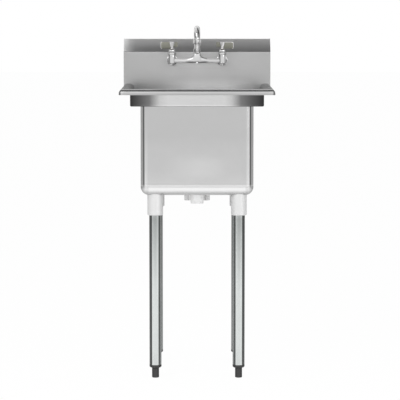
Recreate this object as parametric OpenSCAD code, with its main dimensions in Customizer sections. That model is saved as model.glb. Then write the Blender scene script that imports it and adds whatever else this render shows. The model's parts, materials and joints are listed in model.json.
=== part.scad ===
// One-compartment utility laundry sink on four tube legs, with a backsplash
// and a two-handle swing-spout faucet. Millimetres, +Z up, -Y towards the user.
// The origin is on the floor, under the middle of the overall box.

/* [Bowl] */
// Outside width of the bowl
bowl_w = 391; // [320:1:600]
// Outside depth of the bowl, front to back
bowl_d = 391; // [320:1:600]
// Height of the bowl's walls
bowl_h = 310; // [200:1:420]
// Radius of the bowl's outside edges and corners
bowl_r = 29; // [15:1:45]
// Height of the bowl's underside above the floor
bowl_clear_h = 643; // [450:1:800]
// Thickness of the stainless sheet
sheet = 1.2; // [0.8:0.1:2]

/* [Deck and rim] */
// Distance from the bowl's outside to the apron's face, at the front and sides
ledge_w = 34; // [20:0.1:60]
// Width of the ledge behind the bowl
ledge_rear_w = 17.8; // [12:0.1:60]
// Height of the rim's crown above the ledge
rim_rise = 59.8; // [45:0.1:90]
// How far the rim stands out past the apron
rim_reach = 37.2; // [32:0.1:60]
// Height of the rim's outer face
rim_drop = 20; // [16:0.1:30]
// Radius of the rim's outer bend
rim_outer_r = 14; // [8:0.5:15]
// Radius of the rim's inner bend
rim_inner_r = 16; // [8:0.5:18]
// Width of the hem turned in under the rim
rim_hem = 5; // [3:0.5:10]
// Radius of the bend at the foot of the apron
apron_bend_r = 5; // [3:0.5:8]

/* [Backsplash] */
// Height of the upright face above the ledge
splash_face_h = 174.3; // [120:0.1:260]
// Height of the slanted band on top
splash_slant_h = 51.1; // [30:0.1:80]
// Distance from the upright face to the wall
wall_gap = 50; // [44:0.5:80]
// Height of the flange that lies against the wall
splash_return_h = 40; // [20:1:60]

/* [Legs] */
// Distance from the bowl's side to a leg's axis
leg_inset_x = 50; // [42:0.5:90]
// Distance from the bowl's front or back to a leg's axis
leg_inset_y = 40.3; // [34:0.1:90]
// Outside diameter of a leg tube
leg_od = 42.2; // [32:0.1:48]
// Wall of a leg tube
leg_wall = 1.5; // [1:0.1:2.5]
// Outside diameter of a leg socket
socket_od = 54.5; // [52:0.5:64]
// Length of a socket below the bowl
socket_h = 71; // [50:1:110]
// Depth that a tube enters its socket
socket_grip = 56; // [30:1:60]
// Thickness of the plate inside a socket
socket_cap_t = 4; // [2:0.5:8]
// Rounding of a socket's lower edge
socket_edge_r = 3.5; // [1:0.5:4]
// Diameter of a socket's set screw
set_screw_d = 8; // [5:0.5:10]
// Height of the set screw above the socket's lower edge
set_screw_h = 22; // [12:1:30]

/* [Feet] */
// Height of the collar between foot and tube
collar_h = 10.2; // [6:0.1:16]
// Chamfer on the collar's lower edge
collar_chamfer = 3.5; // [1:0.5:5]
// Length of the insert inside the tube
insert_h = 38; // [25:1:60]
// Diameter of a foot
foot_d = 24.6; // [20:0.1:34]
// Height of a foot below the collar
foot_h = 35.7; // [20:0.1:60]
// Rounding of a foot's sole
foot_edge_r = 2.5; // [1:0.5:5]
// Diameter of a foot's threaded stem
foot_stem_d = 12; // [8:0.5:14]
// Length of a foot's threaded stem
foot_stem_h = 44; // [30:1:60]

/* [Drain] */
// Diameter of the drain's flange in the bowl
drain_flange_d = 90; // [80:1:120]
// Thickness of the drain's flange
drain_flange_t = 3; // [2:0.5:5]
// Diameter of the drain's threaded body
drain_thread_d = 49; // [47:0.5:60]
// Diameter of the drain's bore
drain_bore_d = 40; // [36:0.5:42]
// Diameter of the outlet spigot
outlet_d = 45.4; // [44:0.1:48]
// Length of the outlet spigot
outlet_h = 11.2; // [8:0.1:30]
// Thickness of the gasket under the flange
gasket_t = 1.5; // [1:0.1:3]
// Thickness of the rubber washer under the bowl
washer_t = 4; // [2:0.1:6]
// Thickness of the slip ring under the washer
slip_ring_t = 2.5; // [1:0.1:4]
// Outside diameter of the washer and the slip ring
washer_d = 78; // [70:1:100]
// Height of the locknut
locknut_h = 27.5; // [16:0.5:36]
// Outside diameter of the locknut's ring
locknut_d = 58.5; // [56:0.5:70]
// Diameter over the locknut's lugs
lug_d = 90.8; // [80:0.1:110]
// Width of a lug
lug_w = 26.4; // [12:0.1:34]

/* [Basket] */
// Diameter of the basket's cup
basket_d = 38.6; // [34:0.1:41]
// Depth of the basket's cup
basket_h = 27; // [15:1:34]
// Diameter of the basket's rim
basket_rim_d = 58; // [50:1:70]
// Thickness of the basket's metal
basket_t = 1; // [0.8:0.1:1.5]
// Diameter of the basket's holes
basket_hole_d = 4.5; // [2:0.5:6]
// Diameter of the rubber stopper under the basket
stopper_d = 36; // [33:0.5:39]
// Thickness of the stopper
stopper_t = 4; // [2:0.5:6]
// Height of the stopper above its seat while the drain is open
stopper_lift = 5; // [2:0.5:8]
// Diameter of the basket's knob
knob_d = 17; // [12:1:24]
// Height of the knob's top above the basket's rim
knob_h = 16; // [12:1:26]

/* [Faucet] */
// Distance between the two valves
valve_spacing = 181.2; // [150:0.1:260]
// Height of the faucet's arms above the ledge
faucet_rise = 144.8; // [90:0.1:150]
// Distance from the backsplash to the faucet's axis
faucet_reach = 62; // [50:1:90]
// Diameter of the cross arms
arm_d = 14.4; // [12:0.1:20]
// Diameter of a valve body
valve_d = 25.2; // [23:0.1:32]
// Length of a valve body below the arms' axis
valve_drop = 17.6; // [14:0.1:26]
// Length of a valve body above the arms' axis
valve_rise = 21; // [16:0.1:32]
// Diameter of the centre neck
neck_d = 24; // [23:0.1:30]
// Length of the centre body below the arms' axis
centre_drop = 10; // [8:0.1:16]
// Height of the neck's shoulder above the arms' axis
neck_rise = 32.6; // [26:0.1:50]
// Radius of the sweep from the neck into the arms
neck_sweep_r = 22; // [12:0.5:24]
// Diameter of an inlet boss
inlet_d = 23; // [22:0.1:30]
// Diameter of a wall flange
wall_flange_d = 39.2; // [30:0.1:60]
// Thickness of a wall flange
wall_flange_t = 4; // [3:0.5:12]
// Thread diameter of a supply shank
shank_d = 21; // [18:0.1:21.5]
// Diameter of a shank's free end
shank_end_d = 20.6; // [16:0.1:20.8]
// Length of a shank's free end
shank_end_l = 20; // [12:0.5:24]
// Width across flats of a shank's locknut
shank_nut_af = 32; // [27:0.5:40]
// Thickness of a shank's locknut
shank_nut_t = 8; // [4:0.5:10]
// Thickness of a shank's washer
shank_washer_t = 2; // [1:0.1:3]

/* [Valves and handles] */
// Width across the corners of a bonnet nut
bonnet_hex_d = 30; // [28:0.1:40]
// Height of a bonnet nut's hexagon
bonnet_hex_h = 9; // [6:0.1:12]
// Diameter of a bonnet nut's round top
bonnet_d = 22.3; // [18:0.1:26]
// Height of a bonnet nut's round top
bonnet_h = 12; // [8:0.1:20]
// Diameter of a valve cartridge
cartridge_d = 18.6; // [15:0.1:19]
// Length of a valve cartridge
cartridge_h = 26; // [20:0.1:30]
// Diameter of a valve stem
stem_d = 8; // [6:0.1:9]
// Diameter of a handle's shank
hub_low_d = 13; // [12:0.1:17]
// Diameter of a handle's crown
hub_top_d = 23.4; // [18:0.1:30]
// Height of a handle's hub
hub_h = 25.7; // [20:0.1:34]
// Height of the hub's straight shank
hub_shank_h = 8; // [6:0.1:10]
// Reach of a handle's long blade from its axis
blade_reach = 40.3; // [30:0.1:60]
// Reach of a handle's short blade from its axis
tail_reach = 21.6; // [14:0.1:24]
// Height of the long blade
blade_h = 24.5; // [18:0.1:24.6]
// Height of the short blade
tail_h = 19; // [14:0.1:22]
// Thickness of the blades
blade_t = 5; // [3:0.1:8]
// Corner radius of the blades
blade_r = 4.5; // [2:0.1:6]

/* [Spout] */
// Reach of the spout, riser axis to outlet axis
spout_reach = 152; // [100:1:250]
// Height of the spout's top above the arms' axis
spout_rise = 126; // [110:1:300]
// Outside diameter of the spout tube
spout_od = 21.6; // [20:0.1:22]
// Wall of the spout tube
spout_wall = 1.6; // [1:0.1:2]
// Bend radius of the spout's centreline
spout_bend_r = 30; // [22:1:48]
// Length of bare tube between the last bend and the aerator
spout_tail = 3.6; // [0.5:0.1:60]
// Height of the swivel nut
spout_nut_h = 10.4; // [9.5:0.1:16]
// Diameter of the swivel nut
spout_nut_d = 28.8; // [27:0.1:34]
// Diameter of the spigot that turns in the neck
spigot_d = 17.6; // [16:0.1:18]
// Length of that spigot
spigot_h = 24; // [18:0.1:28]
// Diameter of the aerator
aerator_d = 28.8; // [26:0.1:34]
// Length of the aerator
aerator_h = 19.3; // [14:0.1:26]
// Depth of the spout tube in the aerator
aerator_grip = 14; // [9:0.1:16]

/* [Hidden] */

$fn = 64;

// Clearances: a turning fit, a seat that slides together, space around a tube, faces that pass each other
fit_gap = 0.06;
seat_gap = 0.15;
tube_gap = 0.25;
pass_gap = 0.3;
// How far every cutting shape runs past what it cuts
overrun = 1;

// Heights of the deck
ledge_z = bowl_clear_h + bowl_h;
deck_z = ledge_z + sheet;
rim_top_z = deck_z + rim_rise;
rim_foot_z = rim_top_z - rim_drop;
rim_bend_z = rim_top_z - rim_inner_r;

// Plan of the deck, from the bowl outwards
apron_x = bowl_w / 2 + ledge_w;
rim_x = apron_x + rim_reach;
rim_span = rim_reach + sheet;
top_depth = rim_reach + ledge_w + bowl_d + ledge_rear_w;
front_y = -(top_depth + wall_gap) / 2;
face_y = front_y + top_depth;
wall_y = face_y + wall_gap;
apron_y = front_y + rim_reach;
bowl_front_y = apron_y + ledge_w;
bowl_back_y = bowl_front_y + bowl_d;
bowl_y = bowl_front_y + bowl_d / 2;
mitre = rim_reach + apron_bend_r + sheet;

// Backsplash, folded along its face and along its crest
splash_h = splash_face_h + splash_slant_h;
slant_angle = atan2(wall_gap, splash_slant_h);
fold_in = [sheet, splash_face_h - sheet * tan(slant_angle / 2)];
crest_in = [wall_gap - sheet, splash_h - sheet / tan(slant_angle / 2)];

// Feet, from the floor up
collar_z = foot_h + pass_gap;
tube_z = collar_z + collar_h;
socket_z = bowl_clear_h - socket_h;
tube_top_z = socket_z + socket_grip;
socket_bore_d = leg_od + 2 * tube_gap;
insert_od = leg_od - 2 * leg_wall - 2 * tube_gap;
insert_bore_d = foot_stem_d + 2 * fit_gap;
insert_cap_t = 4;
stem_chamfer = 1.5;
leg_x = bowl_w / 2 - leg_inset_x;
leg_front_y = bowl_front_y + leg_inset_y;
leg_rear_y = bowl_back_y - leg_inset_y;
set_screw_proud = 1.2;
set_screw_l = (socket_od - leg_od) / 2 + set_screw_proud;
key_share = 0.5;
key_depth_share = 0.45;

// Drain stack, from the bowl's floor down
floor_z = bowl_clear_h + sheet;
flange_z = floor_z + gasket_t;
flange_top_z = flange_z + drain_flange_t;
washer_z = bowl_clear_h - washer_t;
slip_ring_z = washer_z - slip_ring_t;
locknut_z = slip_ring_z - locknut_h;
outlet_z = locknut_z - outlet_h;
drain_hole_d = drain_thread_d + 2 * tube_gap;
drain_lip_t = 0.8;
drain_land = 3;
throat_step = 3.6;
throat_d = drain_bore_d - 2 * throat_step;
gasket_inset = 3;
gasket_d = drain_flange_d - 2 * gasket_inset;
lug_count = 4;
lug_edge_r = 4;

// Basket, seated on the drain's flange
basket_floor_z = flange_top_z + basket_t - basket_h;
stopper_z = basket_floor_z - stopper_t;
throat_z = stopper_z - stopper_lift;
basket_holes = 8;
basket_hole_share = 0.31;
post_d = 6;
post_nut_d = 12;
post_nut_t = 3;
knob_t = 5;
knob_top_z = flange_top_z + basket_t + knob_h;

// Faucet axes
faucet_z = deck_z + faucet_rise;
faucet_y = face_y - faucet_reach;
valve_x = valve_spacing / 2;
valve_top_z = faucet_z + valve_rise;
valve_round_r = 7;
waterway_d = 8;
boss_d = 9;
boss_t = 2.4;
sweep_inset = 1.2;
inlet_end_y = face_y - wall_flange_t;
wall_flange_edge_r = 1.5;
shank_grip = 14;
shank_wall_gap = 3;
shank_front_y = inlet_end_y - shank_grip;
shank_l = wall_y - shank_wall_gap - shank_front_y;
shank_bore_d = 12;
shank_washer_d = 34;
splash_hole_d = shank_d + 2 * tube_gap;

// Valve stack
cartridge_proud = 0.6;
cartridge_bore_d = cartridge_d + 2 * seat_gap;
cartridge_z = valve_top_z + cartridge_proud - cartridge_h;
cartridge_floor_t = 4;
bonnet_top_z = valve_top_z + bonnet_hex_h + bonnet_h;
bonnet_edge_r = 1.5;
stem_z = cartridge_z + cartridge_floor_t;
hub_z = bonnet_top_z + pass_gap;
hub_top_z = hub_z + hub_h;
stem_grip_share = 0.6;
stem_top_z = hub_z + stem_grip_share * hub_h;
hub_chamfer = 2;
hub_cone_share = 0.9;
blade_drop = 0.8;
screw_head_d = 9;
screw_head_t = 2.2;
screw_d = 4;
screw_grip = 8;

// Spout
neck_top_z = faucet_z + neck_rise;
spout_axis_z = faucet_z + spout_rise - spout_od / 2;
bend_z = spout_axis_z - spout_bend_r;
outlet_y = faucet_y - spout_reach;
spout_id = spout_od - 2 * spout_wall;
thread_h = 5.4;
thread_step = 0.7;
thread_d = neck_d - 2 * thread_step;
collar_t = 2;
collar_d = thread_d - 2 * tube_gap;
collar_step = 1.6;
spout_neck_d = collar_d - 2 * collar_step;
spout_neck_z = neck_top_z + thread_h + pass_gap;
spout_lip_z = spout_neck_z + collar_t + pass_gap;
spout_tube_z = neck_top_z + spout_nut_h + pass_gap;
spigot_z = spout_neck_z - spigot_h;
spigot_bore_d = spigot_d + 2 * fit_gap;
spigot_wall = 3;
spigot_id = spigot_d - 2 * spigot_wall;
oring_d = 2;
oring_z = spigot_z + spigot_h / 2;
oring_r = (spigot_bore_d - oring_d) / 2 - fit_gap;
oring_groove_d = 2 * oring_r - oring_d - 2 * fit_gap;
oring_groove_h = oring_d + 2 * seat_gap;
aerator_top_z = bend_z - spout_tail;
spout_outlet_z = aerator_top_z - aerator_h;
tube_end_z = aerator_top_z - aerator_grip;
screen_t = 1.6;
screen_z = tube_end_z - screen_t - fit_gap;
screen_rest_z = screen_z - fit_gap;
aerator_edge_r = 2;
aerator_mouth_d = 17.8;
screen_holes = 6;
screen_hole_d = 4;
screen_hole_share = 0.3;

// Colours
satin_steel = [0.78, 0.78, 0.79];
polished_steel = [0.62, 0.62, 0.6];
weld_steel = [0.85, 0.85, 0.85];
galvanised = [0.66, 0.7, 0.7];
chrome_plate = [0.82, 0.83, 0.84];
black_plastic = [0.2, 0.2, 0.2];
rubber_black = [0.12, 0.12, 0.12];
brass_metal = [0.72, 0.58, 0.3];
fibre_brown = [0.55, 0.45, 0.35];

// General shapes

// A tub with rounded upright and bottom edges, standing on z = 0
module rounded_tub(w, d, h, r) {
  x = w / 2 - r;
  y = d / 2 - r;
  translate([-x, -y, 0]) cube([2 * x, 2 * y, h]);
  translate([-w / 2, -y, r]) cube([w, 2 * y, h - r]);
  translate([-x, -d / 2, r]) cube([2 * x, d, h - r]);
  for (sx = [-1, 1], sy = [-1, 1]) translate([sx * x, sy * y, r]) {
    cylinder(r = r, h = h - r);
    sphere(r = r);
  }
  for (sy = [-1, 1]) translate([-x, sy * y, r]) rotate([0, 90, 0]) cylinder(r = r, h = 2 * x);
  for (sx = [-1, 1]) translate([sx * x, -y, r]) rotate([-90, 0, 0]) cylinder(r = r, h = 2 * y);
}

// A flat rounded rectangle, centred
module rounded_rect(w, d, r) {
  square([w - 2 * r, d], center = true);
  square([w, d - 2 * r], center = true);
  for (sx = [-1, 1], sy = [-1, 1]) translate([sx * (w / 2 - r), sy * (d / 2 - r)]) circle(r = r);
}

// A quarter of a bent sheet: outside radius r, opening towards -u and -v of its centre
module quarter_bend(r, t) {
  intersection() {
    difference() {
      circle(r = r);
      circle(r = r - t);
    }
    square([r, r]);
  }
}

// A washer standing on z = 0
module washer(d, bore, h) {
  difference() {
    cylinder(d = d, h = h);
    translate([0, 0, -overrun]) cylinder(d = bore, h = h + 2 * overrun);
  }
}

// A round bar with its top edge rounded
module round_top_bar(d, h, r) {
  rotate_extrude() {
    square([d / 2 - r, h]);
    square([d / 2, h - r]);
    translate([d / 2 - r, h - r]) intersection() {
      circle(r = r);
      square([r, r]);
    }
  }
}

module at_leg(side, rear) {
  translate([side * leg_x, rear ? leg_rear_y : leg_front_y, 0]) children();
}

module at_valve(side) {
  translate([side * valve_x, faucet_y, 0]) children();
}

// Bowl and deck

module bowl_outside() {
  translate([0, bowl_y, bowl_clear_h]) rounded_tub(bowl_w, bowl_d, bowl_h, bowl_r);
}

module bowl() {
  color(satin_steel) difference() {
    bowl_outside();
    translate([0, bowl_y, floor_z])
      rounded_tub(bowl_w - 2 * sheet, bowl_d - 2 * sheet, bowl_h + overrun, bowl_r - sheet);
    translate([0, bowl_y, bowl_clear_h - overrun]) cylinder(d = drain_hole_d, h = sheet + 2 * overrun);
  }
}

// The flat frame around the bowl's mouth, out to where the aprons bend up
module ledge_plan() {
  edge_x = apron_x - apron_bend_r;
  edge_y = apron_y + apron_bend_r;
  difference() {
    translate([-edge_x, edge_y]) square([2 * edge_x, face_y + sheet - edge_y]);
    translate([0, bowl_y]) rounded_rect(bowl_w - 2 * sheet, bowl_d - 2 * sheet, bowl_r - sheet);
  }
}

module ledge_band(x0, x1, y0, y1) {
  color(satin_steel) translate([0, 0, ledge_z]) linear_extrude(sheet) intersection() {
    ledge_plan();
    translate([x0, y0]) square([x1 - x0, y1 - y0]);
  }
}

module ledge_front() {
  ledge_band(-apron_x, apron_x, apron_y, bowl_front_y + bowl_r);
}

module ledge_rear() {
  ledge_band(-apron_x, apron_x, bowl_back_y - bowl_r, face_y + sheet);
}

module ledge_side(side) {
  x0 = side > 0 ? 0 : -apron_x;
  ledge_band(x0, x0 + apron_x, bowl_front_y + bowl_r, bowl_back_y - bowl_r);
}

// Plan of the front strips, mitred at both corners
module front_mitre() {
  polygon([
    [-rim_x - overrun, front_y - overrun], [rim_x + overrun, front_y - overrun],
    [rim_x - mitre, front_y + mitre], [-rim_x + mitre, front_y + mitre]
  ]);
}

// Section of the rim: inner bend, crown, outer bend, skirt and hem.
// It lies in the plane of x and y, x out from the wall's inner face and y up from the deck's underside.
module rim_section() {
  outer_x = rim_span - rim_outer_r;
  top_y = rim_top_z - ledge_z;
  skirt_y = top_y - rim_drop;
  translate([rim_inner_r, top_y - rim_inner_r]) mirror([1, 0]) quarter_bend(rim_inner_r, sheet);
  translate([rim_inner_r, top_y - sheet]) square([outer_x - rim_inner_r, sheet]);
  translate([outer_x, top_y - rim_outer_r]) quarter_bend(rim_outer_r, sheet);
  translate([rim_span - sheet, skirt_y]) square([sheet, rim_drop - rim_outer_r]);
  translate([rim_span - rim_hem, skirt_y]) square([rim_hem, sheet]);
}

// Section of the apron: the bend up from the ledge and the upright wall, in the same plane
module apron_section() {
  wall_h = rim_bend_z - ledge_z - apron_bend_r;
  translate([sheet - apron_bend_r, apron_bend_r]) mirror([0, 1]) quarter_bend(apron_bend_r, sheet);
  translate([0, apron_bend_r]) square([sheet, wall_h]);
}

// A section drawn along the front, or along one side back to the backsplash
module front_strip() {
  intersection() {
    translate([-rim_x, apron_y + sheet, ledge_z]) rotate([90, 0, -90]) mirror([0, 0, 1])
      linear_extrude(2 * rim_x) children();
    translate([0, 0, ledge_z]) linear_extrude(rim_top_z - ledge_z) front_mitre();
  }
}

module side_strip(side) {
  mirror([side < 0 ? 1 : 0, 0, 0]) difference() {
    translate([apron_x - sheet, face_y, ledge_z]) rotate([90, 0, 0])
      linear_extrude(top_depth) children();
    translate([0, 0, ledge_z - overrun]) linear_extrude(rim_top_z - ledge_z + 2 * overrun) front_mitre();
  }
}

module rim_front() {
  color(satin_steel) front_strip() rim_section();
}

module rim_side(side) {
  color(satin_steel) side_strip(side) rim_section();
}

module apron_front() {
  color(polished_steel) front_strip() apron_section();
}

module apron_side(side) {
  color(polished_steel) side_strip(side) apron_section();
}

// Backsplash

module backsplash() {
  color(satin_steel) difference() {
    union() {
      translate([-apron_x, face_y, deck_z]) cube([2 * apron_x, sheet, rim_foot_z - deck_z]);
      translate([-rim_x, face_y, deck_z]) rotate([90, 0, 90]) linear_extrude(2 * rim_x) polygon([
        [0, rim_foot_z - deck_z], [0, splash_face_h], [wall_gap, splash_h],
        [wall_gap, splash_h - splash_return_h], [wall_gap - sheet, splash_h - splash_return_h],
        crest_in, fold_in, [sheet, rim_foot_z - deck_z]
      ]);
    }
    for (side = [-1, 1]) translate([side * valve_x, face_y - overrun, faucet_z]) rotate([-90, 0, 0])
      cylinder(d = splash_hole_d, h = sheet + 2 * overrun);
  }
}

module splash_end(side) {
  foot_y = rim_foot_z - deck_z;
  color(satin_steel) translate([side > 0 ? rim_x - sheet : -rim_x, face_y, deck_z])
    rotate([90, 0, 90]) linear_extrude(sheet)
      polygon([[sheet, foot_y], fold_in, crest_in, [wall_gap - sheet, foot_y]]);
}

// Legs and feet

module leg_socket(side, rear) {
  color(weld_steel) difference() {
    at_leg(side, rear) translate([0, 0, bowl_clear_h + bowl_r]) mirror([0, 0, 1])
      round_top_bar(socket_od, socket_h + bowl_r, socket_edge_r);
    bowl_outside();
    at_leg(side, rear) {
      translate([0, 0, socket_z - overrun]) cylinder(d = socket_bore_d, h = socket_grip + overrun);
      translate([0, 0, tube_top_z + socket_cap_t]) cylinder(d = socket_bore_d, h = socket_h);
      translate([0, 0, socket_z + set_screw_h]) rotate([rear ? 90 : -90, 0, 0])
        cylinder(d = set_screw_d, h = socket_od);
    }
  }
}

module leg_set_screws() {
  color(galvanised) for (side = [-1, 1], rear = [false, true]) at_leg(side, rear)
    translate([0, 0, socket_z + set_screw_h]) rotate([rear ? 90 : -90, 0, 0])
      translate([0, 0, leg_od / 2]) difference() {
        cylinder(d = set_screw_d - 2 * fit_gap, h = set_screw_l);
        translate([0, 0, set_screw_l * (1 - key_depth_share)])
          cylinder(d = set_screw_d * key_share, h = set_screw_l, $fn = 6);
      }
}

module leg_tube(side, rear) {
  color(galvanised) at_leg(side, rear) translate([0, 0, tube_z])
    washer(leg_od, leg_od - 2 * leg_wall, tube_top_z - tube_z);
}

module foot_insert(side, rear) {
  color(black_plastic) at_leg(side, rear) difference() {
    union() {
      translate([0, 0, collar_z]) cylinder(d1 = leg_od - 2 * collar_chamfer, d2 = leg_od, h = collar_chamfer);
      translate([0, 0, collar_z + collar_chamfer]) cylinder(d = leg_od, h = collar_h - collar_chamfer);
      translate([0, 0, tube_z]) cylinder(d = insert_od, h = insert_h);
    }
    translate([0, 0, collar_z - overrun])
      cylinder(d = insert_bore_d, h = collar_h + insert_h - insert_cap_t + overrun);
  }
}

module foot(side, rear) {
  color(black_plastic) at_leg(side, rear) {
    translate([0, 0, foot_h]) mirror([0, 0, 1]) round_top_bar(foot_d, foot_h, foot_edge_r);
    translate([0, 0, foot_h]) cylinder(d = foot_stem_d, h = foot_stem_h - stem_chamfer);
    translate([0, 0, foot_h + foot_stem_h - stem_chamfer])
      cylinder(d1 = foot_stem_d, d2 = foot_stem_d - 2 * stem_chamfer, h = stem_chamfer);
  }
}

// Drain and basket

module drain_gasket() {
  color(rubber_black) translate([0, bowl_y, floor_z]) washer(gasket_d, drain_hole_d, gasket_t);
}

module drain_body() {
  dish_d = basket_rim_d + 2 * drain_land;
  color(chrome_plate) translate([0, bowl_y, 0]) difference() {
    union() {
      translate([0, 0, flange_z]) cylinder(d = drain_flange_d, h = drain_lip_t);
      translate([0, 0, flange_z + drain_lip_t])
        cylinder(d1 = drain_flange_d, d2 = dish_d, h = drain_flange_t - drain_lip_t);
      translate([0, 0, locknut_z]) cylinder(d = drain_thread_d, h = flange_z - locknut_z);
      translate([0, 0, outlet_z]) cylinder(d = outlet_d, h = outlet_h);
    }
    translate([0, 0, throat_z]) cylinder(d = drain_bore_d, h = flange_top_z - throat_z + overrun);
    translate([0, 0, outlet_z - overrun]) cylinder(d = throat_d, h = flange_z - outlet_z);
  }
}

module drain_washer() {
  color(rubber_black) translate([0, bowl_y, washer_z]) washer(washer_d, drain_hole_d, washer_t);
}

module drain_slip_ring() {
  color(fibre_brown) translate([0, bowl_y, slip_ring_z]) washer(washer_d, drain_hole_d, slip_ring_t);
}

module drain_locknut() {
  lug_low_h = locknut_h - lug_edge_r;
  color(weld_steel) translate([0, bowl_y, locknut_z]) difference() {
    union() {
      cylinder(d = locknut_d, h = locknut_h);
      for (i = [0 : lug_count - 1]) rotate(i * 360 / lug_count) {
        translate([0, -lug_w / 2, lug_edge_r]) cube([lug_d / 2, lug_w, lug_low_h]);
        translate([0, -lug_w / 2, 0]) cube([lug_d / 2 - lug_edge_r, lug_w, locknut_h]);
        translate([lug_d / 2 - lug_edge_r, -lug_w / 2, lug_edge_r]) rotate([-90, 0, 0])
          cylinder(r = lug_edge_r, h = lug_w);
      }
    }
    translate([0, 0, -overrun]) cylinder(d = drain_thread_d + 2 * fit_gap, h = locknut_h + 2 * overrun);
  }
}

module basket_cup() {
  inside_d = basket_d - 2 * basket_t;
  color(chrome_plate) translate([0, bowl_y, 0]) difference() {
    union() {
      translate([0, 0, basket_floor_z]) cylinder(d = basket_d, h = basket_h);
      translate([0, 0, flange_top_z]) cylinder(d = basket_rim_d, h = basket_t);
    }
    translate([0, 0, basket_floor_z + basket_t]) cylinder(d = inside_d, h = basket_h);
    translate([0, 0, basket_floor_z - overrun])
      cylinder(d = post_d + 2 * fit_gap, h = basket_t + 2 * overrun);
    for (i = [0 : basket_holes - 1]) rotate(i * 360 / basket_holes) {
      translate([basket_d * basket_hole_share, 0, basket_floor_z - overrun])
        cylinder(d = basket_hole_d, h = basket_t + 2 * overrun);
      translate([inside_d / 2 - overrun, -basket_hole_d / 2, basket_floor_z + 2 * basket_t])
        cube([basket_t + 2 * overrun, basket_hole_d, basket_h / 2]);
    }
  }
}

module basket_stopper() {
  color(rubber_black) translate([0, bowl_y, stopper_z]) washer(stopper_d, post_d + 2 * fit_gap, stopper_t);
}

// The knob, its post, and the nuts that hold the cup and the stopper
module basket_knob() {
  nut_z = stopper_z - post_nut_t;
  color(chrome_plate) translate([0, bowl_y, 0]) {
    translate([0, 0, nut_z]) cylinder(d = post_nut_d, h = post_nut_t);
    translate([0, 0, nut_z]) cylinder(d = post_d, h = knob_top_z - knob_t / 2 - nut_z);
    translate([0, 0, basket_floor_z + basket_t]) cylinder(d = post_nut_d, h = post_nut_t);
    translate([0, 0, knob_top_z - knob_t]) round_top_bar(knob_d, knob_t, knob_t / 2);
  }
}

// Faucet body and its wall fittings

// Front view of the neck sweeping down into the arms, one side
module neck_sweep() {
  reach = neck_d / 2 + neck_sweep_r;
  base = arm_d / 2 - sweep_inset;
  difference() {
    square([reach, base + neck_sweep_r]);
    translate([reach, base + neck_sweep_r]) circle(r = neck_sweep_r);
  }
}

module valve_shell() {
  translate([0, 0, valve_top_z]) mirror([0, 0, 1])
    round_top_bar(valve_d, valve_rise + valve_drop, valve_round_r);
}

module faucet_body() {
  web_t = arm_d - 2 * sweep_inset;
  color(chrome_plate) difference() {
    union() {
      translate([-valve_x, faucet_y, faucet_z]) rotate([0, 90, 0]) cylinder(d = arm_d, h = valve_spacing);
      for (side = [-1, 1]) at_valve(side) {
        valve_shell();
        translate([0, 0, faucet_z]) rotate([-90, 0, 0]) cylinder(d = inlet_d, h = inlet_end_y - faucet_y);
      }
      translate([0, faucet_y, 0]) {
        translate([0, 0, neck_top_z]) mirror([0, 0, 1])
          round_top_bar(neck_d, neck_rise + centre_drop, valve_round_r);
        translate([0, 0, neck_top_z]) cylinder(d = thread_d, h = thread_h);
        for (side = [0, 1]) mirror([side, 0, 0]) translate([0, web_t / 2, faucet_z])
          rotate([90, 0, 0]) linear_extrude(web_t) neck_sweep();
        translate([0, 0, faucet_z - centre_drop - boss_t]) cylinder(d = boss_d, h = centre_drop);
      }
    }
    translate([-valve_x, faucet_y, faucet_z]) rotate([0, 90, 0]) cylinder(d = waterway_d, h = valve_spacing);
    translate([0, faucet_y, spigot_z - fit_gap])
      cylinder(d = spigot_bore_d, h = neck_top_z + thread_h - spigot_z + overrun);
    translate([0, faucet_y, faucet_z]) cylinder(d = waterway_d, h = spigot_z - faucet_z);
    for (side = [-1, 1]) at_valve(side) {
      translate([0, 0, cartridge_z]) cylinder(d = cartridge_bore_d, h = cartridge_h);
      translate([0, 0, faucet_z]) rotate([-90, 0, 0]) cylinder(d = waterway_d, h = faucet_reach);
      translate([0, shank_front_y - faucet_y, faucet_z]) rotate([-90, 0, 0])
        cylinder(d = shank_d + 2 * fit_gap, h = faucet_reach);
    }
  }
}

module wall_flanges() {
  flat_r = wall_flange_d / 2 - wall_flange_edge_r;
  color(chrome_plate) for (side = [-1, 1]) translate([side * valve_x, face_y, faucet_z]) rotate([90, 0, 0])
    difference() {
      union() {
        cylinder(d = wall_flange_d, h = wall_flange_t - wall_flange_edge_r);
        cylinder(r = flat_r, h = wall_flange_t);
        translate([0, 0, wall_flange_t - wall_flange_edge_r]) rotate_extrude()
          translate([flat_r, 0]) circle(r = wall_flange_edge_r);
      }
      translate([0, 0, -overrun]) cylinder(d = shank_d + 2 * fit_gap, h = wall_flange_t + 2 * overrun);
    }
}

module supply_shank(side) {
  color(brass_metal) translate([side * valve_x, shank_front_y, faucet_z]) rotate([-90, 0, 0]) difference() {
    union() {
      cylinder(d = shank_d, h = shank_l - shank_end_l);
      cylinder(d = shank_end_d, h = shank_l);
    }
    translate([0, 0, -overrun]) cylinder(d = shank_bore_d, h = shank_l + 2 * overrun);
  }
}

module shank_washers() {
  color(rubber_black) for (side = [-1, 1]) translate([side * valve_x, face_y + sheet, faucet_z])
    rotate([-90, 0, 0]) washer(shank_washer_d, splash_hole_d, shank_washer_t);
}

module shank_nuts() {
  nut_y = face_y + sheet + shank_washer_t;
  color(brass_metal) for (side = [-1, 1]) translate([side * valve_x, nut_y, faucet_z])
    rotate([-90, 0, 0]) difference() {
      cylinder(d = shank_nut_af / cos(30), h = shank_nut_t, $fn = 6);
      translate([0, 0, -overrun]) cylinder(d = shank_d + 2 * fit_gap, h = shank_nut_t + 2 * overrun);
    }
}

// Valves and handles

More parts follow.
